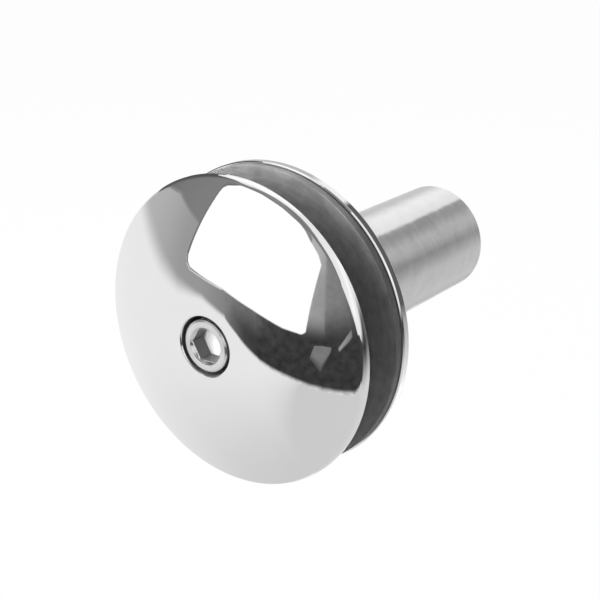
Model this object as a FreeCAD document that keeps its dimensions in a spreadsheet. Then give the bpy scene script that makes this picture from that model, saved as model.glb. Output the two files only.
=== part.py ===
import FreeCAD, Part
import os
import Sketcher

# Glass curtain wall clamp: a domed cap and a rear disc grip the glass around its drilled hole,
# and a solid post stands them off the structure behind. One screw through the cap draws the
# stack together on a spacer bush. The axis lies along Y, the cap faces -Y, and the origin is
# the centre of the post's rear end face.

doc = FreeCAD.newDocument("glass_curtain_wall_clamp")

# Driving dimensions in millimetres
SIZES = [
    ("post_diameter", 20.0),
    ("post_length", 50.0),
    ("post_end_chamfer", 0.5),
    ("post_shoulder_chamfer", 0.2),
    ("rear_thread_drill", 8.5),
    ("rear_thread_depth", 18.0),
    ("rear_thread_mouth", 10.5),
    ("spigot_diameter", 9.0),
    ("spigot_setback", 0.2),
    ("spigot_clearance", 0.03),
    ("rear_disc_diameter", 50.0),
    ("rear_disc_thickness", 1.5),
    ("rear_disc_bevel", 0.3),
    ("rear_disc_edge_break", 0.15),
    ("pad_thickness", 1.5),
    ("rear_pad_setback", 0.3),
    ("front_pad_setback", 2.0),
    ("bush_diameter", 12.0),
    ("bush_chamfer", 0.4),
    ("bush_clearance", 0.4),
    ("glass_gap", 6.0),
    ("cap_diameter", 50.0),
    ("cap_edge", 1.1),
    ("cap_edge_break", 0.1),
    ("dome_rise", 6.4),
    ("rim_round", 1.0),
    ("screw_diameter", 6.0),
    ("screw_length", 30.0),
    ("screw_tip_chamfer", 0.7),
    ("shank_clearance", 0.3),
    ("thread_clearance", 0.05),
    ("thread_run_out", 3.0),
    ("head_diameter", 8.3),
    ("head_height", 4.6),
    ("head_chamfer", 0.25),
    ("head_recess", 0.15),
    ("head_clearance", 0.6),
    ("socket_width", 5.0),
    ("socket_depth", 3.0),
    ("socket_mouth", 6.1),
]

sheet = doc.addObject("Spreadsheet::Sheet", "Sizes")
for row, (alias, value) in enumerate(SIZES, start=1):
    sheet.set(f"A{row}", alias)
    sheet.set(f"B{row}", str(value))
    sheet.setAlias(f"B{row}", alias)
doc.recompute()

# Radii worked out from the driving dimensions
POST_RADIUS = "(Sizes.post_diameter / 2)"
SPIGOT_RADIUS = "(Sizes.spigot_diameter / 2)"
SPIGOT_BORE = f"({SPIGOT_RADIUS} + Sizes.spigot_clearance)"
REAR_THREAD_RADIUS = "(Sizes.rear_thread_drill / 2)"
REAR_MOUTH_RADIUS = "(Sizes.rear_thread_mouth / 2)"
REAR_DISC_RADIUS = "(Sizes.rear_disc_diameter / 2)"
REAR_PAD_RADIUS = f"({REAR_DISC_RADIUS} - Sizes.rear_pad_setback)"
BUSH_RADIUS = "(Sizes.bush_diameter / 2)"
PAD_BORE = f"({BUSH_RADIUS} + Sizes.bush_clearance)"
CAP_RADIUS = "(Sizes.cap_diameter / 2)"
FRONT_PAD_RADIUS = f"({CAP_RADIUS} - Sizes.front_pad_setback)"
SHANK_RADIUS = "(Sizes.screw_diameter / 2)"
SHANK_BORE = f"({SHANK_RADIUS} + Sizes.shank_clearance)"
TAPPED_BORE = f"({SHANK_RADIUS} + Sizes.thread_clearance)"
HEAD_RADIUS = "(Sizes.head_diameter / 2)"
COUNTERBORE = f"({HEAD_RADIUS} + Sizes.head_clearance)"
COUNTERBORE_MOUTH = f"({COUNTERBORE} + Sizes.cap_edge_break)"
SOCKET_FLAT_RADIUS = "(Sizes.socket_width / 2)"
SOCKET_CORNER_RADIUS = "(Sizes.socket_width / sqrt(3))"
SOCKET_MOUTH_RADIUS = "(Sizes.socket_mouth / 2)"

# The dome is a sphere over the cap's edge, and the rim's round touches it and the edge's wall
DOME_RADIUS = f"(({CAP_RADIUS} ^ 2 + Sizes.dome_rise ^ 2) / (2 * Sizes.dome_rise))"
DOME_CENTRE = f"(Sizes.cap_edge + Sizes.dome_rise - {DOME_RADIUS})"
DOME_MOUTH = f"({DOME_CENTRE} + sqrt({DOME_RADIUS} ^ 2 - {COUNTERBORE_MOUTH} ^ 2))"
ROUND_REACH = f"({CAP_RADIUS} - Sizes.rim_round)"
ROUND_RISE = f"sqrt(({DOME_RADIUS} - Sizes.rim_round) ^ 2 - {ROUND_REACH} ^ 2)"
ROUND_STRETCH = f"({DOME_RADIUS} / ({DOME_RADIUS} - Sizes.rim_round))"
ROUND_FOOT = f"({DOME_CENTRE} + {ROUND_RISE})"
ROUND_TOP_RADIUS = f"({ROUND_REACH} * {ROUND_STRETCH})"
ROUND_TOP = f"({DOME_CENTRE} + {ROUND_RISE} * {ROUND_STRETCH})"
HEAD_SEAT = f"({DOME_MOUTH} - Sizes.head_recess - Sizes.head_height)"

# Places along the axis, measured forward from the post's rear end
DISC_BACK = "Sizes.post_length"
DISC_FRONT = f"({DISC_BACK} + Sizes.rear_disc_thickness)"
SPIGOT_END = f"({DISC_FRONT} - Sizes.spigot_setback)"
BUSH_LENGTH = "(Sizes.glass_gap + 2 * Sizes.pad_thickness)"
CAP_BACK = f"({DISC_FRONT} + {BUSH_LENGTH})"
FRONT_PAD_BACK = f"({CAP_BACK} - Sizes.pad_thickness)"
SCREW_TIP = f"({CAP_BACK} + {HEAD_SEAT} - Sizes.screw_length)"

# Drill points and the socket's mouth slope 30 degrees from the face
CONE_SLOPE = "tan(30)"

AXIS = "0"
FORWARD = FreeCAD.Rotation(FreeCAD.Vector(1, 0, 0), 180)
SQUARE = FreeCAD.Vector(0, 0, 1)


def size(expression):
    """Value of an expression in the sheet's sizes."""
    return float(sheet.evalExpression(expression))


def new_body(name, forward):
    """Body that points forward, along -Y, from a place on the axis."""
    body = doc.addObject("PartDesign::Body", name)
    body.Placement = FreeCAD.Placement(FreeCAD.Vector(0, -size(forward), 0), FORWARD)
    body.setExpression("Placement.Base.y", f"-({forward})")
    return body


def new_sketch(body, name, role):
    """Empty sketch on one of the body's own origin planes."""
    sketch = body.newObject("Sketcher::SketchObject", name)
    plane = [feature for feature in body.Origin.OriginFeatures if feature.Role == role][0]
    sketch.AttachmentSupport = (plane, [""])
    sketch.MapMode = "FlatFace"
    return sketch


def drive(sketch, constraint, expression):
    """Add a constraint whose value follows an expression."""
    index = sketch.addConstraint(constraint)
    sketch.setExpression(f"Constraints[{index}]", expression)


def hold_start(sketch, side, across, along):
    """Hold the start of a side at a distance from the axis and a height."""
    for kind, axis, expression in (("DistanceX", -2, across), ("DistanceY", -1, along)):
        if expression == AXIS:
            sketch.addConstraint(Sketcher.Constraint("PointOnObject", side, 1, axis))
        else:
            distance = Sketcher.Constraint(kind, -1, 1, side, 1, size(expression))
            drive(sketch, distance, expression)


def arc_between(start, end, radius):
    """Arc that turns left from start to end."""
    chord = end - start
    left = SQUARE.cross(chord) / chord.Length
    centre = (start + end) / 2 + left * (radius**2 - chord.Length**2 / 4) ** 0.5
    circle = Part.Circle(centre, SQUARE, radius)
    return Part.ArcOfCircle(circle, circle.parameter(start), circle.parameter(end))


def half_section(body, name, corners, arcs):
    """Closed half section of (radius, height) corners; arcs gives the radius of each round side."""
    sketch = new_sketch(body, name, "XY_Plane")
    points = [FreeCAD.Vector(size(across), size(along), 0) for across, along in corners]
    ends = points[1:] + points[:1]
    for side, (start, end) in enumerate(zip(points, ends)):
        if side in arcs:
            sketch.addGeometry(arc_between(start, end, size(arcs[side])), False)
        else:
            sketch.addGeometry(Part.LineSegment(start, end), False)
    for side, (across, along) in enumerate(corners):
        following = (side + 1) % len(corners)
        sketch.addConstraint(Sketcher.Constraint("Coincident", side, 2, following, 1))
        hold_start(sketch, side, across, along)
    for side, radius in arcs.items():
        drive(sketch, Sketcher.Constraint("Radius", side, size(radius)), radius)
    return sketch


def turn(body, kind, name, corners, arcs=None):
    """Turn a half section once round the body's axis, adding or cutting."""
    feature = body.newObject(f"PartDesign::{kind}", name)
    sketch = half_section(body, f"{name}_section", corners, arcs or {})
    feature.Profile = sketch
    feature.ReferenceAxis = (sketch, ["V_Axis"])
    feature.Angle = 360
    doc.recompute()


def hexagon(body, name, height):
    """Hexagon across the axis at a height, with two corners on X."""
    sketch = new_sketch(body, name, "XZ_Plane")
    sketch.setExpression("AttachmentOffset.Base.z", f"-{height}")
    corner = FreeCAD.Vector(size(SOCKET_CORNER_RADIUS), 0, 0)
    sixth = FreeCAD.Rotation(SQUARE, 60)
    for side in range(6):
        following = sixth.multVec(corner)
        sketch.addGeometry(Part.LineSegment(corner, following), False)
        corner = following
    around = Part.Circle(FreeCAD.Vector(), SQUARE, corner.Length)
    circle = sketch.addGeometry(around, True)
    sketch.addConstraint(Sketcher.Constraint("Coincident", circle, 3, -1, 1))
    drive(sketch, Sketcher.Constraint("Radius", circle, corner.Length), SOCKET_CORNER_RADIUS)
    for side in range(6):
        sketch.addConstraint(Sketcher.Constraint("Coincident", side, 2, (side + 1) % 6, 1))
        sketch.addConstraint(Sketcher.Constraint("PointOnObject", side, 1, circle))
    for side in range(1, 6):
        sketch.addConstraint(Sketcher.Constraint("Equal", 0, side))
    sketch.addConstraint(Sketcher.Constraint("PointOnObject", 0, 1, -1))
    return sketch


def make_post():
    """Turned bar with a spigot for the disc and a tapped hole in each end."""
    body = new_body("post", AXIS)
    turn(body, "Revolution", "bar", [
        (AXIS, AXIS),
        (f"({POST_RADIUS} - Sizes.post_end_chamfer)", AXIS),
        (POST_RADIUS, "Sizes.post_end_chamfer"),
        (POST_RADIUS, f"({DISC_BACK} - Sizes.post_shoulder_chamfer)"),
        (f"({POST_RADIUS} - Sizes.post_shoulder_chamfer)", DISC_BACK),
        (SPIGOT_RADIUS, DISC_BACK),
        (SPIGOT_RADIUS, SPIGOT_END),
        (AXIS, SPIGOT_END),
    ])
    front_bottom = f"({SCREW_TIP} - Sizes.thread_run_out)"
    turn(body, "Groove", "front_thread", [
        (AXIS, SPIGOT_END),
        (AXIS, f"({front_bottom} - {TAPPED_BORE} * {CONE_SLOPE})"),
        (TAPPED_BORE, front_bottom),
        (TAPPED_BORE, SPIGOT_END),
    ])
    turn(body, "Groove", "rear_thread", [
        (AXIS, AXIS),
        (REAR_MOUTH_RADIUS, AXIS),
        (REAR_THREAD_RADIUS, f"({REAR_MOUTH_RADIUS} - {REAR_THREAD_RADIUS})"),
        (REAR_THREAD_RADIUS, "Sizes.rear_thread_depth"),
        (AXIS, f"(Sizes.rear_thread_depth + {REAR_THREAD_RADIUS} * {CONE_SLOPE})"),
    ])
    return body


def make_rear_disc():
    """Polished plate with a bevelled front edge, bored to sit on the post's spigot."""
    body = new_body("rear_disc", DISC_BACK)
    turn(body, "Revolution", "plate", [
        (SPIGOT_BORE, AXIS),
        (f"({REAR_DISC_RADIUS} - Sizes.rear_disc_edge_break)", AXIS),
        (REAR_DISC_RADIUS, "Sizes.rear_disc_edge_break"),
        (REAR_DISC_RADIUS, "(Sizes.rear_disc_thickness - Sizes.rear_disc_bevel)"),
        (f"({REAR_DISC_RADIUS} - Sizes.rear_disc_bevel)", "Sizes.rear_disc_thickness"),
        (SPIGOT_BORE, "Sizes.rear_disc_thickness"),
    ])
    return body


def make_pad(name, back, outer):
    """Rubber washer that lies between the glass and the disc or cap that carries it."""
    body = new_body(name, back)
    turn(body, "Revolution", "washer", [
        (PAD_BORE, AXIS),
        (outer, AXIS),
        (outer, "Sizes.pad_thickness"),
        (PAD_BORE, "Sizes.pad_thickness"),
    ])
    return body


def make_spacer_bush():
    """Nylon sleeve that fills the hole in the glass and sets the gap."""
    body = new_body("spacer_bush", DISC_FRONT)
    end_radius = f"({BUSH_RADIUS} - Sizes.bush_chamfer)"
    turn(body, "Revolution", "sleeve", [
        (SHANK_BORE, AXIS),
        (end_radius, AXIS),
        (BUSH_RADIUS, "Sizes.bush_chamfer"),
        (BUSH_RADIUS, f"({BUSH_LENGTH} - Sizes.bush_chamfer)"),
        (end_radius, BUSH_LENGTH),
        (SHANK_BORE, BUSH_LENGTH),
    ])
    return body


def make_front_cap():
    """Solid dome with a rolled rim, a flat back and a counterbore for the screw's head."""
    body = new_body("front_cap", CAP_BACK)
    turn(body, "Revolution", "dome", [
        (SHANK_BORE, AXIS),
        (f"({CAP_RADIUS} - Sizes.cap_edge_break)", AXIS),
        (CAP_RADIUS, "Sizes.cap_edge_break"),
        (CAP_RADIUS, ROUND_FOOT),
        (ROUND_TOP_RADIUS, ROUND_TOP),
        (COUNTERBORE_MOUTH, DOME_MOUTH),
        (COUNTERBORE, f"({DOME_MOUTH} - Sizes.cap_edge_break)"),
        (COUNTERBORE, HEAD_SEAT),
        (SHANK_BORE, HEAD_SEAT),
    ], arcs={3: "Sizes.rim_round", 4: DOME_RADIUS})
    return body


def make_clamp_screw():
    """Cap screw with a low round head and a hexagon socket."""
    body = new_body("clamp_screw", SCREW_TIP)
    seat = "Sizes.screw_length"
    top = "(Sizes.screw_length + Sizes.head_height)"
    floor = f"({top} - Sizes.socket_depth)"
    turn(body, "Revolution", "blank", [
        (AXIS, AXIS),
        (f"({SHANK_RADIUS} - Sizes.screw_tip_chamfer)", AXIS),
        (SHANK_RADIUS, "Sizes.screw_tip_chamfer"),
        (SHANK_RADIUS, seat),
        (HEAD_RADIUS, seat),
        (HEAD_RADIUS, f"({top} - Sizes.head_chamfer)"),
        (f"({HEAD_RADIUS} - Sizes.head_chamfer)", top),
        (AXIS, top),
    ])
    socket = body.newObject("PartDesign::Pocket", "socket")
    socket.Profile = hexagon(body, "socket_outline", top)
    socket.Reversed = True
    socket.setExpression("Length", "Sizes.socket_depth")
    doc.recompute()
    turn(body, "Groove", "socket_mouth", [
        (AXIS, top),
        (AXIS, f"({top} - {SOCKET_MOUTH_RADIUS} * {CONE_SLOPE})"),
        (SOCKET_MOUTH_RADIUS, top),
    ])
    turn(body, "Groove", "socket_point", [
        (AXIS, floor),
        (AXIS, f"({floor} - {SOCKET_FLAT_RADIUS} * {CONE_SLOPE})"),
        (SOCKET_FLAT_RADIUS, floor),
    ])
    return body


bodies = [
    make_post(),
    make_rear_disc(),
    make_pad("rear_pad", DISC_FRONT, REAR_PAD_RADIUS),
    make_spacer_bush(),
    make_pad("front_pad", FRONT_PAD_BACK, FRONT_PAD_RADIUS),
    make_front_cap(),
    make_clamp_screw(),
]
doc.recompute()

for item in doc.Objects:
    if "Invalid" in item.State or "Error" in item.State:
        raise RuntimeError(f"{item.Label} failed to build")
for body in bodies:
    if body.Shape.isNull() or not body.Shape.isValid() or len(body.Shape.Solids) != 1:
        raise RuntimeError(f"{body.Label} is not one valid solid")

os.makedirs("parts", exist_ok=True)
for body in bodies:
    body.Shape.exportStep(f"parts/{body.Label}.step")
    box = body.Shape.BoundBox
    print(f"{body.Label}: {body.Shape.Volume:.2f} mm3, y {box.YMin:.3f} to {box.YMax:.3f}")
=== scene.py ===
import math

import bmesh
import bpy
from mathutils import Matrix, Vector


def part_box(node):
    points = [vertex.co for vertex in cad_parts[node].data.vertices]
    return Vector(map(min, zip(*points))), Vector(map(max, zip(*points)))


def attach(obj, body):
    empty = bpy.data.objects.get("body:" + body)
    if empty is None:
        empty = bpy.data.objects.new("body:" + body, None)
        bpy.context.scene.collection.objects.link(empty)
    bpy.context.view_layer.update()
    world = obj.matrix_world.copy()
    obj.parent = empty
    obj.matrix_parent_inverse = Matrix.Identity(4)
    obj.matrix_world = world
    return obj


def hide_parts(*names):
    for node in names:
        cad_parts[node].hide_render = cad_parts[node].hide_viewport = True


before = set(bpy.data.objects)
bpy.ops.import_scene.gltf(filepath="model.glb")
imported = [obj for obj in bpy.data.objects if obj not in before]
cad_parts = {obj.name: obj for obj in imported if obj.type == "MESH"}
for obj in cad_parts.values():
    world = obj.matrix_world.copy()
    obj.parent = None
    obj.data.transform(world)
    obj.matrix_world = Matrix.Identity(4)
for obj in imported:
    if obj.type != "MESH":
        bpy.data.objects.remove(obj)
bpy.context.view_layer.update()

# Glass curtain wall clamp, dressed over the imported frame. Lengths below are millimetres
# unless a name or comment says otherwise, and the mesh code turns them into metres.

MM = 0.001
TURN = 2 * math.pi
SCENE = bpy.context.scene


def span(node):
    """Rear and front places of a CAD node along the axis, and its outer radius."""
    low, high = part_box(node)
    return high.y / MM, low.y / MM, high.x / MM


POST_REAR, SPIGOT_END, POST_RADIUS = span("post")
DISC_REAR, DISC_FRONT, DISC_RADIUS = span("rear_disc")
REAR_PAD_REAR, REAR_PAD_FRONT, REAR_PAD_RADIUS = span("rear_pad")
BUSH_REAR, BUSH_FRONT, BUSH_RADIUS = span("spacer_bush")
FRONT_PAD_REAR, FRONT_PAD_FRONT, FRONT_PAD_RADIUS = span("front_pad")
CAP_REAR, _, CAP_RADIUS = span("front_cap")
SCREW_TIP, HEAD_TOP, HEAD_RADIUS = span("clamp_screw")

# How fine the meshes are: points in a ring, rows in a thread's pitch, steps along the cap's arcs,
# the flat strip beside each fillet, the welding distance in metres, and the angle of a sharp edge
AROUND = 192
THREAD_ROWS = 12
RIM_STEPS = 24
DOME_STEPS = 120
FILLET_MARGIN = 0.04
WELD = 1e-7
SHARP = math.radians(24)

# Cap: a spherical dome, a rolled rim and a counterbore with a rounded lip
DOME_RISE = 6.4
CAP_EDGE = 1.1
CAP_EDGE_BREAK = 0.1
RIM_ROUND = 1.0
DOME_RADIUS = (CAP_RADIUS**2 + DOME_RISE**2) / (2 * DOME_RISE)
DOME_CENTRE = CAP_REAR - CAP_EDGE - DOME_RISE + DOME_RADIUS
COUNTERBORE = 4.75
LIP_WIDTH = 0.5
LIP_ROUND = 0.3
SEAT_ROUND = 0.1
SHANK_BORE = 3.3

# Screw: M6 with a low round head and a socket for a 5 mm key
SCREW_PITCH = 1.0
SHANK_RADIUS = 3.0
SCREW_ROOT = 2.45
PLAIN_SHANK = 6.0
RUN_OUT_SLOPE = 0.5
TIP_CHAMFER = 0.7
HEAD_HEIGHT = 4.6
HEAD_SEAT = HEAD_TOP + HEAD_HEIGHT
HEAD_BEVEL_WIDTH = 0.3
HEAD_BEVEL_DEPTH = 0.2
HEAD_BEVEL_ROUND = 0.08
HEAD_SEAT_ROUND = 0.15
NECK_ROUND = 0.2
SOCKET_FLAT = 2.5
SOCKET_MOUTH = 3.0
SOCKET_MOUTH_ROUND = 0.05
SOCKET_DEPTH = 3.0
SOCKET_FLOOR_SHARE = 0.97

# Post: M10 hole in the rear, spigot and M6 hole in front
REAR_PITCH = 1.5
REAR_DRILL = 4.25
REAR_ROOT = 5.0
REAR_MOUTH = 5.25
REAR_DEPTH = 18.0
REAR_THREAD = 16.5
RUN_IN_SLOPE = 0.8
DRILL_SLOPE = math.tan(math.radians(30))
POST_CHAMFER = 0.5
POST_FACE_ROUND = 0.08
POST_SIDE_ROUND = 0.15
SHOULDER_CHAMFER = 0.2
SHOULDER_SIDE_ROUND = 0.05
SHOULDER_FACE_ROUND = 0.02
SPIGOT_RADIUS = 4.5
SPIGOT_ROUND = 0.1
TAPPED_BORE = 3.05
TIP_ROOM = 3.0

# Disc: thin plate, its front edge bevelled and its rear edge just broken
SPIGOT_FIT = 0.03
DISC_REAR_ROUND = 0.15
DISC_BEVEL_WIDTH = 0.15
DISC_BEVEL_DEPTH = 0.25
DISC_SIDE_ROUND = 0.15
DISC_FACE_ROUND = 0.03

# Pads: washers with soft edges on the seat, on the face and at both ends of the bore
PAD_BORE = 6.4
PAD_SEAT_ROUND = 0.3
PAD_FACE_ROUND = 0.2
PAD_SEAT_BORE_ROUND = 0.15
PAD_FACE_BORE_ROUND = 0.3

# Bush: sleeve with chamfered ends
BUSH_CHAMFER = 0.4
BUSH_END_ROUND = 0.08
BUSH_SIDE_ROUND = 0.1
BUSH_BORE_ROUND = 0.1

# Thread form: shares of half a pitch that the flat crest and the straight flank take
CREST_SHARE = 0.14
FLANK_SHARE = 0.66


# Mesh building
def arc(centre, radius, start, end, steps):
    """Points on an arc in the half section, angles in degrees from the radius towards the rear."""
    points = []
    for step in range(steps + 1):
        angle = math.radians(start + (end - start) * step / steps)
        points.append((centre[0] + radius * math.cos(angle), centre[1] + radius * math.sin(angle)))
    return points


def rounded(corners, steps=6):
    """Half section with a fillet on each (radius, place, round) corner that has a third number."""
    points = []
    count = len(corners)
    for index, corner in enumerate(corners):
        here = Vector(corner[:2])
        if len(corner) == 2:
            points.append(tuple(here))
            continue
        size = corner[2]
        before = (Vector(corners[index - 1][:2]) - here).normalized()
        after = (Vector(corners[(index + 1) % count][:2]) - here).normalized()
        half = before.angle(after) / 2
        reach = size / math.tan(half)
        centre = here + (before + after).normalized() * (size / math.sin(half))
        start = here + before * reach - centre
        end = here + after * reach - centre
        points.append(tuple(here + before * (reach + FILLET_MARGIN)))
        for step in range(steps + 1):
            spoke = start.lerp(end, step / steps).normalized() * size
            points.append(tuple(centre + spoke))
        points.append(tuple(here + after * (reach + FILLET_MARGIN)))
    return points


def round_axis(reach, place, angle):
    """Point in metres at a distance from the axis, a place along it and an angle round it."""
    return (reach * math.cos(angle) * MM, place * MM, reach * math.sin(angle) * MM)


def spin(mesh, rings, closed=False):
    """Add rings about the axis to a bmesh; a ring is (radius, place), each a number or a function."""
    loops = []
    for radius, place in rings:
        if radius == 0:
            loops.append([mesh.verts.new((0, place * MM, 0))] * AROUND)
            continue
        loop = []
        for index in range(AROUND):
            angle = TURN * index / AROUND
            reach = radius(angle) if callable(radius) else radius
            along = place(angle) if callable(place) else place
            loop.append(mesh.verts.new(round_axis(reach, along, angle)))
        loops.append(loop)
    pairs = list(zip(loops, loops[1:]))
    if closed:
        pairs.append((loops[-1], loops[0]))
    for near, far in pairs:
        for index in range(AROUND):
            following = (index + 1) % AROUND
            corners = [near[index], near[following], far[following], far[index]]
            mesh.faces.new(list(dict.fromkeys(corners)))


def helix(mesh, start, end, pitch, shape, limit):
    """Add a thread between two places; shape gives the radius over one pitch, limit trims it."""
    turns = abs(end - start) / pitch
    sign = 1 if end > start else -1
    rows = math.ceil(turns + 1) * THREAD_ROWS
    grid = []
    for row in range(rows + 1):
        line = []
        for index in range(AROUND + 1):
            along = (row / THREAD_ROWS + index / AROUND - 1) * pitch
            place = start + sign * min(max(along, 0), turns * pitch)
            reach = limit(shape(row / THREAD_ROWS % 1), place)
            line.append(mesh.verts.new(round_axis(reach, place, TURN * index / AROUND)))
        grid.append(line)
    for near, far in zip(grid, grid[1:]):
        for index in range(AROUND):
            mesh.faces.new([near[index], near[index + 1], far[index + 1], far[index]])


def piece(name, mesh, node, body, material):
    """Finish a bmesh as the visible piece that stands for a CAD node."""
    bmesh.ops.remove_doubles(mesh, verts=mesh.verts, dist=WELD)
    bmesh.ops.dissolve_degenerate(mesh, edges=mesh.edges, dist=WELD)
    bmesh.ops.recalc_face_normals(mesh, faces=mesh.faces)
    data = bpy.data.meshes.new(name)
    mesh.to_mesh(data)
    mesh.free()
    data.shade_smooth()
    data.set_sharp_from_angle(angle=SHARP)
    data.materials.append(material)
    made = bpy.data.objects.new(name, data)
    SCENE.collection.objects.link(made)
    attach(made, body)
    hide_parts(node)


# Materials: the roughness of the matt grey painted over metal, the depths in the screw's head between which
# painted shade sets in, margins at the bores, the socket's floor and the head's side, and the size and
# rarity of dust
MATT = 0.5
PAINTED_SHADE_START = 0.45
PAINTED_SHADE_END = 0.6
BORE_MARGIN = 0.01
FLOOR_MARGIN = 0.1
SIDE_MARGIN = 0.05
DUST_SIZE = 0.07
DUST_RARITY = 0.86


def grey(level):
    """Opaque grey colour."""
    return (level, level, level, 1)


class Nodes:
    """A node tree, with short calls to add and join its nodes."""

    def __init__(self, tree):
        self.tree = tree

    def add(self, kind, inputs=None, **settings):
        """Add a node; inputs are values or other nodes' outputs."""
        node = self.tree.nodes.new(kind)
        for key, value in settings.items():
            setattr(node, key, value)
        for key, value in (inputs or {}).items():
            self.feed(node.inputs[key], value)
        return node

    def feed(self, socket, value):
        """Link an output to a socket, or set its value."""
        if isinstance(value, bpy.types.NodeSocket):
            self.tree.links.new(value, socket)
        else:
            socket.default_value = value

    def math(self, operation, first, second=0.0):
        """Output of a math node."""
        return self.add("ShaderNodeMath", {0: first, 1: second}, operation=operation).outputs[0]

    def show_white(self, plain, white, camera_share):
        """Shader that camera rays see as white by a share, glossy and transmission rays as all white."""
        rays = self.add("ShaderNodeLightPath").outputs
        share = self.math("MULTIPLY", rays["Is Camera Ray"], camera_share)
        share = self.math("MAXIMUM", share, rays["Is Glossy Ray"])
        share = self.math("MAXIMUM", share, rays["Is Transmission Ray"])
        return self.add("ShaderNodeMixShader", {0: share, 1: plain, 2: white}).outputs[0]


class Shader(Nodes):
    """A material's nodes, with calls for the patterns that the materials share."""

    def __init__(self, name):
        self.material = bpy.data.materials.new(name)
        self.material.use_nodes = True
        super().__init__(self.material.node_tree)
        self.surface = self.tree.nodes["Principled BSDF"]
        self.output = self.tree.nodes["Material Output"].inputs["Surface"]

    def position(self):
        """Object coordinates in metres, as a vector."""
        return self.add("ShaderNodeTexCoord").outputs["Object"]

    def attribute(self, name):
        """Value of one of the mesh's own attributes."""
        return self.add("ShaderNodeAttribute", attribute_name=name).outputs["Fac"]

    def split(self, vector):
        """X, Y and Z of a vector."""
        return self.add("ShaderNodeSeparateXYZ", {0: vector}).outputs

    def join(self, **numbers):
        """Vector from its X, Y and Z."""
        return self.add("ShaderNodeCombineXYZ", numbers).outputs[0]

    def radius(self):
        """Distance from the axis."""
        parts = self.split(self.position())
        across = self.join(X=parts["X"], Z=parts["Z"])
        return self.add("ShaderNodeVectorMath", {0: across}, operation="LENGTH").outputs["Value"]

    def noise(self, vector, scale, detail=3.0, roughness=0.5):
        """Value of a noise texture."""
        inputs = {"Vector": vector, "Scale": scale, "Detail": detail, "Roughness": roughness}
        return self.add("ShaderNodeTexNoise", inputs).outputs["Fac"]

    def grain(self, fine, drift, detail=2.0):
        """Noise in fine lines that run round the axis, on sides and on end faces alike."""
        parts = self.split(self.position())
        lines = self.math("MULTIPLY", self.radius(), fine)
        along = self.math("MULTIPLY", parts["Y"], fine)
        side = self.math("MULTIPLY", parts["X"], drift)
        height = self.math("MULTIPLY", parts["Z"], drift)
        vector = self.join(X=lines, Y=along, Z=side)
        inputs = {"Vector": vector, "W": height, "Scale": 1.0, "Detail": detail}
        return self.add("ShaderNodeTexNoise", inputs, noise_dimensions="4D").outputs["Fac"]

    def spread(self, value, low, high, start=0.3, end=0.7):
        """Map a value between start and end onto a range."""
        inputs = {"Value": value, "From Min": start, "From Max": end, "To Min": low, "To Max": high}
        return self.add("ShaderNodeMapRange", inputs).outputs[0]

    def ease(self, value, start, end, low, high):
        """Map a value onto a range with a soft start and end."""
        inputs = {"Value": value, "From Min": start, "From Max": end, "To Min": low, "To Max": high}
        return self.add("ShaderNodeMapRange", inputs, interpolation_type="SMOOTHSTEP").outputs[0]

    def blend(self, first, second, share):
        """Number between two numbers, by the second one's share."""
        rest = self.math("MULTIPLY", first, 1 - share)
        return self.math("ADD", rest, self.math("MULTIPLY", second, share))

    def mix(self, share, first, second):
        """Colour between two colours; the colour sockets of the node are numbers 6, 7 and 2."""
        node = self.add("ShaderNodeMix", {0: share}, data_type="RGBA")
        self.feed(node.inputs[6], first)
        self.feed(node.inputs[7], second)
        return node.outputs[2]

    def bump(self, height, depth, normal=None):
        """Normal of a bump with a given depth, over another normal where there is one."""
        inputs = {"Height": height, "Strength": 1.0, "Distance": depth * MM}
        if normal is not None:
            inputs["Normal"] = normal
        return self.add("ShaderNodeBump", inputs).outputs[0]

    def paint_matt_grey(self, share, shade):
        """Paint a matt grey over what the metal has, by a share from 0 to 1: painted shade when dark,
        painted light when pale.
        """
        base, gloss, metal = (self.surface.inputs[key] for key in ("Base Color", "Roughness", "Metallic"))
        colour = self.mix(share, base.links[0].from_socket, grey(shade))
        dulled = self.spread(share, gloss.links[0].from_socket, MATT, start=0.0, end=1.0)
        before = metal.links[0].from_socket if metal.links else metal.default_value
        left = self.math("MULTIPLY", self.math("SUBTRACT", 1.0, share), before)
        self.set(Base_Color=colour, Roughness=dulled, Metallic=left)

    def set(self, **values):
        """Set the surface's sockets."""
        for key, value in values.items():
            self.feed(self.surface.inputs[key.replace("_", " ")], value)


def polished_steel(name, shade, bore=0):
    """Mirror polish with faint haze and hairlines from the buffing wheel; inside a bore's radius, painted
    shade in matt dark grey.
    """
    shader = Shader(name)
    haze = shader.noise(shader.position(), scale=90.0, detail=4.0, roughness=0.6)
    hairs = shader.grain(fine=9000.0, drift=60.0)
    colour = shader.mix(haze, grey(shade * 0.97), grey(shade * 1.02))
    hazy = shader.spread(haze, low=0.012, high=0.03)
    rough = shader.math("ADD", hazy, shader.spread(hairs, low=0.0, high=0.012))
    waves = shader.bump(shader.noise(shader.position(), scale=70.0, detail=1.0), depth=0.003)
    normal = shader.bump(hairs, depth=0.00002, normal=waves)
    shader.set(Base_Color=colour, Metallic=1.0, Roughness=rough, Normal=normal)
    if bore:
        # Painted shade: the counterbore's wall is painted matt dark grey.
        shader.paint_matt_grey(shader.math("LESS_THAN", shader.radius(), bore * MM), shade=0.1)
    return shader


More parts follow.
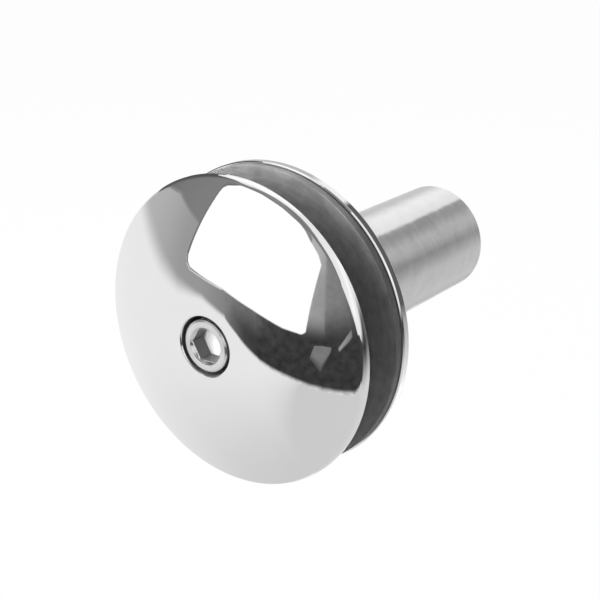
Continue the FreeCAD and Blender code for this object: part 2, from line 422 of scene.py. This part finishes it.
def turned_steel(name, shade, smooth, rough, marks, wave_scale, wave_depth):
    """Fine turning marks round the axis, over soft waves; smooth and rough bound the roughness."""
    shader = Shader(name)
    lines = shader.grain(fine=12000.0, drift=90.0)
    broad = shader.grain(fine=1500.0, drift=200.0)
    patch = shader.noise(shader.position(), scale=300.0, detail=4.0, roughness=0.6)
    turned = shader.blend(lines, broad, share=0.4)
    uneven = shader.spread(shader.blend(turned, patch, share=0.5), low=0.0, high=1.0)
    colour = shader.mix(uneven, grey(shade * 0.9), grey(shade * 1.07))
    patchy = shader.spread(patch, low=-0.02, high=0.03)
    roughness = shader.math("ADD", shader.spread(turned, low=smooth, high=rough), patchy)
    swell = shader.bump(shader.noise(shader.position(), wave_scale, detail=1.5), wave_depth)
    normal = shader.bump(turned, marks, swell)
    tangent = shader.add("ShaderNodeTangent", direction_type="RADIAL", axis="Y").outputs[0]
    shader.set(Anisotropic=0.9, Anisotropic_Rotation=0.25, Tangent=tangent)
    shader.set(Base_Color=colour, Metallic=1.0, Roughness=roughness, Normal=normal)
    return shader


def screw_steel(name):
    """Bright turned head; painted shade in matt dark grey on the socket's walls and the side of the head,
    and painted light in pale matt grey on the socket's floor.
    """
    shader = turned_steel(
        name, shade=0.70, smooth=0.2, rough=0.3, marks=0.001, wave_scale=2500.0, wave_depth=0.003,
    )
    depth = shader.math("SUBTRACT", shader.split(shader.position())["Y"], HEAD_TOP * MM)
    below = shader.spread(depth, low=0.0, high=1.0, start=PAINTED_SHADE_START * MM, end=PAINTED_SHADE_END * MM)
    floor_start = (SOCKET_DEPTH - FLOOR_MARGIN) * MM
    bottom = shader.spread(depth, low=0.0, high=1.0, start=floor_start, end=SOCKET_DEPTH * MM)
    inside = shader.math("LESS_THAN", shader.radius(), (SOCKET_MOUTH + BORE_MARGIN) * MM)
    outside = shader.math("GREATER_THAN", shader.radius(), (HEAD_RADIUS - SIDE_MARGIN) * MM)
    # Painted shade: the socket's walls below the mouth turn matt dark grey.
    shader.paint_matt_grey(shader.math("MULTIPLY", below, inside), shade=0.13)
    # Painted light: the socket's floor turns pale matt grey, lighter than the shaded walls.
    shader.paint_matt_grey(shader.math("MULTIPLY", bottom, inside), shade=0.8)
    # Painted shade: the side of the head, down in the counterbore, turns matt dark grey.
    shader.paint_matt_grey(shader.math("MULTIPLY", below, outside), shade=0.1)
    return shader


def rubber(name):
    """Matt dark grey rubber with a fine grain, scuffs and a little dust."""
    shader = Shader(name)
    grain = shader.noise(shader.position(), scale=2600.0, detail=4.0, roughness=0.65)
    cloud = shader.noise(shader.position(), scale=450.0, detail=5.0, roughness=0.65)
    scuffs = shader.grain(fine=1100.0, drift=220.0, detail=3.0)
    worn = shader.spread(shader.blend(cloud, scuffs, share=0.5), low=0.0, high=1.0, start=0.38, end=0.62)
    base = shader.mix(worn, grey(0.125), grey(0.2))
    cells = shader.add("ShaderNodeTexVoronoi", {"Vector": shader.position(), "Scale": 420.0}).outputs
    near = shader.math("LESS_THAN", cells["Distance"], DUST_SIZE)
    rare = shader.math("GREATER_THAN", shader.split(cells["Color"])["X"], DUST_RARITY)
    colour = shader.mix(shader.math("MULTIPLY", near, rare), base, (0.3, 0.3, 0.29, 1))
    rough = shader.spread(grain, low=0.55, high=0.72)
    shader.set(Base_Color=colour, Roughness=rough, Normal=shader.bump(grain, depth=0.012))
    return shader


def nylon(name):
    """Natural nylon, turned to length."""
    shader = Shader(name)
    lines = shader.grain(fine=5000.0, drift=120.0)
    cloud = shader.noise(shader.position(), scale=300.0)
    colour = shader.mix(cloud, (0.76, 0.74, 0.69, 1), (0.84, 0.83, 0.79, 1))
    rough = shader.spread(lines, low=0.34, high=0.48)
    normal = shader.bump(lines, depth=0.006)
    shader.set(Base_Color=colour, Roughness=rough, Normal=normal, Subsurface_Weight=0.15)
    return shader


CAP_STEEL = polished_steel("cap_polish", shade=0.80, bore=COUNTERBORE + BORE_MARGIN).material
DISC_STEEL = polished_steel("disc_polish", shade=0.78).material
POST_STEEL = turned_steel(
    "post_brushed", shade=0.66, smooth=0.1, rough=0.2, marks=0.0005, wave_scale=300.0, wave_depth=0.06,
).material
SCREW_STEEL = screw_steel("screw_machined").material
RUBBER = rubber("pad_rubber").material
NYLON = nylon("bush_nylon").material


# Pieces
def make_front_cap():
    """Domed cap with its rolled rim and counterbore."""
    mesh = bmesh.new()
    reach = CAP_RADIUS - RIM_ROUND
    rise = math.sqrt((DOME_RADIUS - RIM_ROUND) ** 2 - reach**2)
    tilt = math.degrees(math.atan2(rise, reach))
    mouth_tilt = math.degrees(math.acos((COUNTERBORE + LIP_WIDTH) / DOME_RADIUS))
    lip_place = DOME_CENTRE - math.sqrt(DOME_RADIUS**2 - COUNTERBORE**2)
    rings = [
        (SHANK_BORE, CAP_REAR),
        (CAP_RADIUS - CAP_EDGE_BREAK, CAP_REAR),
        (CAP_RADIUS, CAP_REAR - CAP_EDGE_BREAK),
    ]
    rings += arc((reach, DOME_CENTRE - rise), RIM_ROUND, 0, -tilt, RIM_STEPS)
    rings += arc((0, DOME_CENTRE), DOME_RADIUS, -tilt, -mouth_tilt, DOME_STEPS)[1:]
    bore = [
        rings[-1],
        (COUNTERBORE, lip_place, LIP_ROUND),
        (COUNTERBORE, HEAD_SEAT, SEAT_ROUND),
        (SHANK_BORE, HEAD_SEAT),
    ]
    rings += rounded(bore, steps=10)[1:]
    spin(mesh, rings, closed=True)
    piece("front_cap_dome", mesh, "front_cap", "cap", CAP_STEEL)


def make_rear_disc():
    """Thin polished disc, its front edge bevelled and its rear edge just broken."""
    mesh = bmesh.new()
    bore = SPIGOT_RADIUS + SPIGOT_FIT
    corners = [
        (bore, DISC_REAR),
        (DISC_RADIUS, DISC_REAR, DISC_REAR_ROUND),
        (DISC_RADIUS, DISC_FRONT + DISC_BEVEL_DEPTH, DISC_SIDE_ROUND),
        (DISC_RADIUS - DISC_BEVEL_WIDTH, DISC_FRONT, DISC_FACE_ROUND),
        (bore, DISC_FRONT),
    ]
    spin(mesh, rounded(corners, steps=10), closed=True)
    piece("rear_disc_plate", mesh, "rear_disc", "base", DISC_STEEL)


def make_pad(name, node, body, seat, face, radius):
    """Rubber washer between its seat on the metal and its face on the glass, with soft edges."""
    mesh = bmesh.new()
    corners = [
        (PAD_BORE, seat, PAD_SEAT_BORE_ROUND),
        (radius, seat, PAD_SEAT_ROUND),
        (radius, face, PAD_FACE_ROUND),
        (PAD_BORE, face, PAD_FACE_BORE_ROUND),
    ]
    spin(mesh, rounded(corners, steps=8), closed=True)
    piece(name, mesh, node, body, RUBBER)


def make_bush():
    """Nylon sleeve with broken edges."""
    mesh = bmesh.new()
    corners = [
        (SHANK_BORE, BUSH_REAR, BUSH_BORE_ROUND),
        (BUSH_RADIUS - BUSH_CHAMFER, BUSH_REAR, BUSH_END_ROUND),
        (BUSH_RADIUS, BUSH_REAR - BUSH_CHAMFER, BUSH_SIDE_ROUND),
        (BUSH_RADIUS, BUSH_FRONT + BUSH_CHAMFER, BUSH_SIDE_ROUND),
        (BUSH_RADIUS - BUSH_CHAMFER, BUSH_FRONT, BUSH_END_ROUND),
        (SHANK_BORE, BUSH_FRONT, BUSH_BORE_ROUND),
    ]
    spin(mesh, rounded(corners), closed=True)
    piece("spacer_bush_sleeve", mesh, "spacer_bush", "base", NYLON)


def ridge(share, crest, root):
    """Radius over one pitch of a thread with a flat crest, straight flanks and a flat root."""
    distance = abs(share - 0.5) * 2
    slope = min(max((distance - CREST_SHARE) / FLANK_SHARE, 0), 1)
    return crest + (root - crest) * slope


def make_post():
    """Turned bar with a tapped hole in its rear end."""
    mesh = bmesh.new()
    thread_end = POST_REAR - REAR_THREAD
    rear_bottom = POST_REAR - REAR_DEPTH
    front_bottom = SCREW_TIP + TIP_ROOM

    def thread(share):
        return ridge(share, REAR_DRILL, REAR_ROOT)

    def trim(reach, place):
        run_in = REAR_DRILL + (place - thread_end) * RUN_IN_SLOPE
        return max(min(reach, run_in), REAR_MOUTH + (place - POST_REAR))

    spin(mesh, [
        (0, rear_bottom - REAR_DRILL * DRILL_SLOPE),
        (REAR_DRILL, rear_bottom),
        (REAR_DRILL, thread_end),
    ])
    helix(mesh, thread_end, POST_REAR, REAR_PITCH, thread, trim)
    spin(mesh, rounded([
        (REAR_MOUTH, POST_REAR),
        (POST_RADIUS - POST_CHAMFER, POST_REAR, POST_FACE_ROUND),
        (POST_RADIUS, POST_REAR - POST_CHAMFER, POST_SIDE_ROUND),
        (POST_RADIUS, DISC_REAR + SHOULDER_CHAMFER, SHOULDER_SIDE_ROUND),
        (POST_RADIUS - SHOULDER_CHAMFER, DISC_REAR, SHOULDER_FACE_ROUND),
        (SPIGOT_RADIUS, DISC_REAR),
        (SPIGOT_RADIUS, SPIGOT_END, SPIGOT_ROUND),
        (TAPPED_BORE, SPIGOT_END),
        (TAPPED_BORE, front_bottom),
        (0, front_bottom + TAPPED_BORE * DRILL_SLOPE),
    ]))
    piece("post_bar", mesh, "post", "base", POST_STEEL)


def hexagon(angle):
    """Radius of the socket's wall at an angle round the axis, with two corners on X."""
    sixth = TURN / 6
    return SOCKET_FLAT / math.cos(angle % sixth - sixth / 2)


def make_screw():
    """Cap screw with its thread and hexagon socket."""
    mesh = bmesh.new()
    shank_end = HEAD_SEAT + PLAIN_SHANK
    tip_radius = SHANK_RADIUS - TIP_CHAMFER
    countersink = HEAD_TOP + SOCKET_MOUTH
    floor = HEAD_TOP + SOCKET_DEPTH

    def thread(share):
        return ridge(share, SHANK_RADIUS, SCREW_ROOT)

    def trim(reach, place):
        run_out = SHANK_RADIUS - (place - shank_end) * RUN_OUT_SLOPE
        return max(min(reach, tip_radius + (SCREW_TIP - place)), run_out)

    spin(mesh, [(0, SCREW_TIP), (tip_radius, SCREW_TIP)])
    helix(mesh, SCREW_TIP, shank_end, SCREW_PITCH, thread, trim)
    profile = rounded([
        (SHANK_RADIUS, shank_end),
        (SHANK_RADIUS, HEAD_SEAT, NECK_ROUND),
        (HEAD_RADIUS, HEAD_SEAT, HEAD_SEAT_ROUND),
        (HEAD_RADIUS, HEAD_TOP + HEAD_BEVEL_DEPTH, HEAD_BEVEL_ROUND),
        (HEAD_RADIUS - HEAD_BEVEL_WIDTH, HEAD_TOP, HEAD_BEVEL_ROUND),
        (SOCKET_MOUTH, HEAD_TOP, SOCKET_MOUTH_ROUND),
        (SOCKET_FLAT, countersink - SOCKET_FLAT),
    ], steps=8)[:-1]
    profile += [
        (hexagon, lambda angle: countersink - hexagon(angle)),
        (hexagon, floor),
        (SOCKET_FLAT * SOCKET_FLOOR_SHARE, floor),
        (0, floor + SOCKET_FLAT * DRILL_SLOPE),
    ]
    spin(mesh, profile)
    piece("clamp_screw_m6", mesh, "clamp_screw", "screw", SCREW_STEEL)


make_front_cap()
make_rear_disc()
make_pad("rear_pad_washer", "rear_pad", "base", REAR_PAD_REAR, REAR_PAD_FRONT, REAR_PAD_RADIUS)
make_pad("front_pad_washer", "front_pad", "cap", FRONT_PAD_FRONT, FRONT_PAD_REAR, FRONT_PAD_RADIUS)
make_bush()
make_post()
make_screw()


# Studio: a white floor and surroundings, a softbox, and grey and dark cards for the polish to show.
# Cards hang round a point inside the cap, those below the horizon just above the floor, and a card
# with a smaller distance hides the one behind it.
STUDIO_SETBACK = 4
STUDIO = Vector((0, CAP_REAR - STUDIO_SETBACK, 0))
FLOOR_HEIGHT = -250
FLOOR_REACH = 8000
FAR_CARD = 1350
CARD_STEP = 5
CARD_ROWS = 10
CARD_KEYS = ("level", "fade", "crest", "beyond", "mottle")
EDGE_FADE = 0.02
CREST_START = 0.35
CREST_END = 0.85
MOTTLE_SCALE = 20.0


def direction(azimuth, elevation):
    """Unit vector at an azimuth from -Y towards +X and an elevation, in degrees."""
    turn = math.radians(azimuth)
    height = math.radians(elevation)
    return Vector((
        math.sin(turn) * math.cos(height),
        -math.cos(turn) * math.cos(height),
        math.sin(height),
    ))


def card_glow():
    """Emission that fades in from a card's first edge, changes towards its last, and is a little uneven."""
    shader = Shader("card_glow")
    shader.tree.nodes.remove(shader.surface)
    rise = shader.attribute("rise")
    level = shader.attribute("level")
    share = shader.math("DIVIDE", rise, shader.attribute("fade"))
    foot = shader.ease(share, 0.0, 1.0, low=shader.attribute("beyond"), high=level)
    more = shader.math("SUBTRACT", shader.attribute("crest"), level)
    head = shader.ease(rise, CREST_START, CREST_END, low=0.0, high=more)
    spot = shader.join(X=shader.attribute("across"), Y=shader.attribute("up"))
    cloud = shader.math("SUBTRACT", shader.noise(spot, MOTTLE_SCALE, detail=4.0), 0.5)
    uneven = shader.math("ADD", shader.math("MULTIPLY", cloud, shader.attribute("mottle")), 1.0)
    strength = shader.math("MULTIPLY", shader.math("ADD", foot, head), uneven)
    light = shader.add("ShaderNodeEmission", {"Strength": strength})
    shader.feed(shader.output, light.outputs[0])
    return shader.material


CARD_GLOW = card_glow()


def spaced(rows):
    """Rows of numbers with more put in between, so that the first numbers are close together."""
    fine = [rows[0]]
    for near, far in zip(rows, rows[1:]):
        count = max(1, math.ceil(abs(far[0] - near[0]) / CARD_STEP))
        for index in range(1, count + 1):
            share = index / count
            fine.append([a + (b - a) * share for a, b in zip(near, far)])
    return fine


def hang(name, columns, values, lights=False):
    """Make a card from columns of points, seen by the polish only or, as a lamp, by matt surfaces only."""
    mesh = bmesh.new()
    layers = [mesh.verts.layers.float.new(key) for key in CARD_KEYS]
    rise, across, up = (mesh.verts.layers.float.new(key) for key in ("rise", "across", "up"))
    lines = []
    for column, numbers in zip(columns, values):
        line = []
        for row, point in enumerate(column):
            corner = mesh.verts.new(point * MM)
            ray = (point - STUDIO).normalized()
            corner[rise] = row / (len(column) - 1)
            corner[across] = math.atan2(ray.x, -ray.y)
            corner[up] = math.asin(ray.z)
            for layer, number in zip(layers, numbers):
                corner[layer] = number
            line.append(corner)
        lines.append(line)
    for near, far in zip(lines, lines[1:]):
        for row in range(len(near) - 1):
            mesh.faces.new([near[row], far[row], far[row + 1], near[row + 1]])
    data = bpy.data.meshes.new(name)
    mesh.to_mesh(data)
    mesh.free()
    data.materials.append(CARD_GLOW)
    hung = bpy.data.objects.new(name, data)
    SCENE.collection.objects.link(hung)
    hung.visible_camera = False
    hung.visible_shadow = False
    hung.visible_diffuse = lights
    hung.visible_glossy = not lights


def card(
    name, distance, first, last, level,
    fade=EDGE_FADE, crest=None, beyond=1.0, mottle=0.0, lights=False,
):
    """Curved card between two edges of (azimuth, elevation) points, with numbers for all or each of them."""
    each = [
        value if isinstance(value, list) else [value] * len(first)
        for value in (level, fade, level if crest is None else crest)
    ]
    rows = spaced([(*start, *end, *numbers) for start, end, *numbers in zip(first, last, *each)])
    columns = []
    for start_turn, start_height, end_turn, end_height, *_ in rows:
        column = []
        for step in range(CARD_ROWS + 1):
            share = step / CARD_ROWS
            ray = direction(
                start_turn + (end_turn - start_turn) * share,
                start_height + (end_height - start_height) * share,
            )
            reach = distance
            if ray.z < 0:
                reach = min(reach, FLOOR_HEIGHT / ray.z * distance / FAR_CARD)
            column.append(STUDIO + ray * reach)
        columns.append(column)
    hang(name, columns, [(*row[4:], beyond, mottle) for row in rows], lights)


def edge(elevation, *azimuths):
    """Edge of a card at one elevation."""
    return [(azimuth, elevation) for azimuth in azimuths]


def ring_card(name, place, inner, outer, stops):
    """Flat card in a ring round the axis behind the post, with levels at (angle, level) stops."""
    rows = spaced(stops)
    columns = []
    for angle, _ in rows:
        turn = math.radians(angle)
        spoke = Vector((math.cos(turn), 0, math.sin(turn)))
        columns.append([Vector((0, place, 0)) + spoke * reach for reach in (inner, outer)])
    hang(name, columns, [(level, EDGE_FADE, level, level, 0.0) for _, level in rows])


# Softbox: its face in the polish, its light on matt surfaces and the dark frame at its left
SOFTBOX_FOOT = [
    (-48.8, 3), (-48.4, 1.2), (-47, 0), (-40, -1), (-31, -2.2),
    (-17.8, -6.1), (-5.8, -10.2), (1.6, -11.4), (3.2, -10.6),
]
SOFTBOX_HEAD = [
    (-45, 25), (-44.4, 26.7), (-43, 28), (-36.3, 30.9), (-26, 32.3),
    (-14, 31), (-4, 27.5), (5.5, 18), (7.3, 14.5),
]
card("softbox_face", 1200, SOFTBOX_FOOT, SOFTBOX_HEAD, level=1.3)
card("softbox_light", 1190, SOFTBOX_FOOT, SOFTBOX_HEAD, level=12.0, lights=True)
card(
    "softbox_frame", 1210,
    [(-49.6, 3.5), (-49, 0.6), (-47, -0.8), (-40, -1.6), (-31, -2.6)],
    [(-45.7, 25), (-45, 27), (-43.5, 28.6), (-36.3, 31.4), (-26, 32.8)],
    level=0.2,
)

# Other lights, on matt surfaces alone
card(
    "top_light", 1200,
    [(-150, 12), (-125, 32), (-100, 42), (-80, 48), (-60, 58), (-40, 64)],
    [(-150, 50), (-125, 70), (-100, 78), (-80, 82), (-60, 84), (-40, 84)],
    level=6.0, lights=True,
)
card("high_light", 1195, edge(26, -85, -57, -30), edge(52, -85, -57, -30), level=11.0, lights=True)
card("side_light", 1200, edge(-30, 42, 75), edge(60, 42, 75), level=0.3, lights=True)

# White faces above and to the right, in the rims of the cap and disc
card(
    "top_face", 1210,
    [(-180, 34), (-160, 22), (-140, 22), (-126, 36), (-112, 48), (-85, 60)],
    [(-180, 60), (-160, 72), (-140, 80), (-126, 80), (-112, 80), (-85, 80)],
    level=1.25, fade=0.1,
)
card(
    "right_face", 1210,
    [(24, -2), (40, -2), (60, 3), (90, 16), (120, 21), (150, 18)],
    [(24, 10), (40, 22), (60, 32), (90, 50), (120, 50), (150, 44)],
    level=1.17, fade=0.3, crest=1.0,
)

# Grey walls to the left
card(
    "wall_left", 1300,
    [
        (-110, 0), (-98, 1), (-90, 2), (-80.4, 0), (-71.3, -4),
        (-62.8, -8), (-52.6, -10), (-40.4, -8.5), (-29.4, -12),
    ],
    [
        (-110, 9), (-98, 11.5), (-90, 11.5), (-80, 12), (-71, 13.5),
        (-62.8, 15.5), (-52.6, 13.5), (-40, 11), (-29, 9),
    ],
    level=[0.9, 0.72, 0.62, 0.57, 0.54, 0.49, 0.4, 0.38, 0.28],
    fade=[0.9, 0.8, 0.7, 0.6, 0.5, 0.4, 0.3, 0.15, 0.1],
)
card(
    "wall_upper", 1310,
    [
        (-140, -14), (-128, -2), (-118, 5), (-108, 9), (-98, 11), (-80, 11.5), (-71, 13),
        (-62.8, 15), (-52.6, 13), (-29, 9), (9, 9),
    ],
    [
        (-140, 12), (-128, 30), (-118, 39), (-108, 46), (-98, 51), (-80, 56), (-71, 56),
        (-60, 54), (-48, 50), (-30, 50), (9, 50),
    ],
    level=[0.13, 0.11, 0.1, 0.1, 0.11, 0.15, 0.19, 0.24, 0.26, 0.27, 0.27], fade=0.05, beyond=0.4,
)

# Dark walls below the softbox and round to the right
card(
    "wall_dim", 1290,
    [(-29.4, -12), (-25, -16), (-21, -20), (-16, -23.8)],
    [(-29.4, -1), (-25, -2), (-21, -3), (-16, -5)],
    level=[0.27, 0.14, 0.07, 0.05], fade=0.1, crest=[0.27, 0.22, 0.18, 0.16], mottle=0.5,
)
card(
    "wall_dark", 1290,
    [
        (-16, -23.8), (-10.6, -26.5), (-2, -29.5), (4.4, -31.4), (10, -32.6),
        (16, -33.2), (23.4, -33.2), (24.2, -31.8), (25.8, -28.5),
    ],
    [
        (-16, -5), (-10, -7), (-2, -9), (4.4, -12.5), (10, -12.5),
        (16, -12), (20, -11), (22, -10), (24, -9),
    ],
    level=0.048, fade=[0.09, 0.09, 0.1, 0.12, 0.13, 0.13, 0.13, 0.12, 0.1],
    crest=[0.12, 0.07, 0.05, 0.05, 0.05, 0.05, 0.05, 0.05, 0.05], beyond=0.8, mottle=1.6,
)
card(
    "wall_far", 1290,
    [(25.8, -28.5), (36, -30.5), (50, -35), (66, -37), (82, -36), (98, -33), (130, -30), (146, -29)],
    [(24, -9), (36, -6), (50, -6), (66, -7), (82, -8), (98, -7), (130, -6), (146, -6)],
    level=[0.05, 0.06, 0.07, 0.07, 0.05, 0.04, 0.08, 0.15],
    fade=[0.1, 0.25, 0.7, 1, 1, 1, 1, 1], beyond=0.8,
)
card(
    "side_flag", 1292,
    [(60, 0), (77, 4), (92, 11), (112, 17), (130, 19), (146, 16)],
    [(60, -8.5), (77, -9), (92, -9), (112, -10), (130, -10), (146, -10)],
    level=[0.08, 0.08, 0.06, 0.06, 0.12, 0.18], fade=[0.9, 0.9, 0.75, 0.6, 0.6, 0.6],
)

# Grey walls right of the softbox, with a patch and a streak on the dark below them
card(
    "wall_right", 1298,
    edge(-13.5, 2, 6, 10.4), [(2, 32), (5, 30), (8.5, 27)],
    level=[0.42, 0.4, 0.36], fade=0.25, crest=[0.55, 0.55, 0.45], beyond=0.05, mottle=0.3,
)
card(
    "wall_shade", 1300,
    [(9.8, -13.5), (11.4, -13.4), (16, -13), (21, -12.5), (24, -11)],
    [(8.4, 27), (9.6, 25), (12, 20), (14.4, 13), (16.4, 7.5)],
    level=[0.36, 0.27, 0.26, 0.24, 0.18], fade=[0.3, 0.4, 0.5, 0.65, 0.9], beyond=0.05, mottle=0.5,
)
card(
    "wall_patch", 1280,
    [(5, -19.8), (9.2, -24.6), (13, -16.7)], [(6.8, -14.8), (10, -14.6), (13, -14.8)],
    level=0.23, fade=0.4, beyond=0.1, mottle=0.6,
)
card(
    "wall_streak", 1280,
    [(16.1, -16.3), (20.4, -11)], [(15.7, -14.8), (20, -7.5)],
    level=[0.4, 0.26], fade=0.4, beyond=0.12,
)

# Grey overhead and a pale shade on the floor
card(
    "ceiling", 1320,
    [
        (-40, 45), (-15, 36), (5, 30), (9, 24), (15.5, 7), (22, 15),
        (31, 25), (40, 36), (47, 52), (70, 65), (126, 77),
    ],
    edge(88, -50, -15, 5, 9, 15.5, 22, 31, 40, 47, 70, 126),
    level=[0.28, 0.3, 0.3, 0.22, 0.2, 0.22, 0.26, 0.28, 0.28, 0.28, 0.3], fade=0.04,
)
card(
    "floor_shade", 1300,
    [
        (-140, -22), (-100, -22), (-70, -22), (-45, -22), (-21, -22), (0, -25),
        (24, -24), (60, -28), (100, -28), (146, -25), (190, -25),
    ],
    edge(-88, -140, -100, -70, -40, -10, 10, 30, 60, 100, 146, 190),
    level=[0.74, 0.74, 0.74, 0.74, 0.74, 0.74, 0.75, 0.77, 0.79, 0.8, 0.8],
    fade=[0.8, 0.8, 0.8, 0.8, 0.7, 0.1, 0.02, 0.05, 0.05, 0.05, 0.05],
)

# Gradients behind the post, for its brushed side and for the disc's edge
RING_PLACE = 60
ring_card(
    "post_sweep", RING_PLACE, inner=40, outer=103, stops=[
        (176, 0.75), (150, 0.75), (122, 1.28), (82, 1.15), (80, 0.42), (64, 0.39),
        (42, 0.62), (28, 0.58), (8, 0.36), (-25, 0.72), (-83, 0.75), (-106, 0.5),
    ],
)
ring_card(
    "disc_flag", RING_PLACE, inner=104, outer=117, stops=[
        (200, 0.6), (112, 0.6), (102, 1.1), (82, 1.1), (77, 0.13), (2, 0.12),
        (-10, 0.5), (-30, 0.75), (-50, 1.0), (-60, 1.25), (-115, 1.25),
    ],
)


def paper_floor():
    """Grey paper that camera rays see as nearly white, with a little of the object's shadow."""
    shader = Shader("paper_floor")
    paper = shader.noise(shader.position(), scale=40.0, detail=5.0)
    colour = shader.mix(paper, grey(0.5), grey(0.52))
    shader.set(Base_Color=colour, Roughness=0.9, Specular_IOR_Level=0.1)
    white = shader.add("ShaderNodeEmission", {"Strength": 1.0}).outputs[0]
    shader.feed(shader.output, shader.show_white(shader.surface.outputs[0], white, camera_share=0.98))
    return shader.material


def lay_floor():
    """Wide flat floor below the object."""
    sides = ((-1, -1), (1, -1), (1, 1), (-1, 1))
    corners = [Vector((x * FLOOR_REACH, y * FLOOR_REACH, FLOOR_HEIGHT)) * MM for x, y in sides]
    data = bpy.data.meshes.new("floor")
    data.from_pydata(corners, [], [(0, 1, 2, 3)])
    data.materials.append(paper_floor())
    floor_object = bpy.data.objects.new("floor", data)
    SCENE.collection.objects.link(floor_object)


def light_world():
    """Dim even light on matt surfaces, and white for the camera, polish and glass."""
    world = bpy.data.worlds.new("studio")
    SCENE.world = world
    world.use_nodes = True
    nodes = Nodes(world.node_tree)
    dim = nodes.tree.nodes["Background"]
    nodes.feed(dim.inputs["Color"], grey(0.13))
    nodes.feed(dim.inputs["Strength"], 1.0)
    white = nodes.add("ShaderNodeBackground", {"Color": grey(1.0), "Strength": 1.0})
    shown = nodes.show_white(dim.outputs[0], white.outputs[0], camera_share=1.0)
    nodes.feed(nodes.tree.nodes["World Output"].inputs["Surface"], shown)


lay_floor()
light_world()

# Camera at the photograph's viewing angle: where the eye stands about a pivot in the cap, in degrees
# and millimetres, the direction from which it looks, in degrees, and its lens
PIVOT_SETBACK = 1
EYE_AZIMUTH = 40.27
EYE_ELEVATION = 22.344
EYE_DISTANCE = 185.66
VIEW_AZIMUTH = 36.732
VIEW_ELEVATION = 20.757
SENSOR_WIDTH = 36.0
LENS = 72.155
CLIP_START_M = 0.005
CLIP_END_M = 50


def place_camera():
    """Camera with no roll."""
    data = bpy.data.cameras.new("camera")
    data.sensor_width = SENSOR_WIDTH
    data.lens = LENS
    data.clip_start = CLIP_START_M
    data.clip_end = CLIP_END_M
    camera = bpy.data.objects.new("camera", data)
    SCENE.collection.objects.link(camera)
    pivot = Vector((0, CAP_REAR - PIVOT_SETBACK, 0))
    eye = pivot + direction(EYE_AZIMUTH, EYE_ELEVATION) * EYE_DISTANCE
    backwards = direction(VIEW_AZIMUTH, VIEW_ELEVATION)
    rightwards = Vector((0, 0, 1)).cross(backwards).normalized()
    upwards = backwards.cross(rightwards)
    turn = Matrix((rightwards, upwards, backwards)).transposed()
    camera.matrix_world = Matrix.Translation(eye * MM) @ turn.to_4x4()
    SCENE.camera = camera


place_camera()
SCENE.view_settings.view_transform = "Standard"
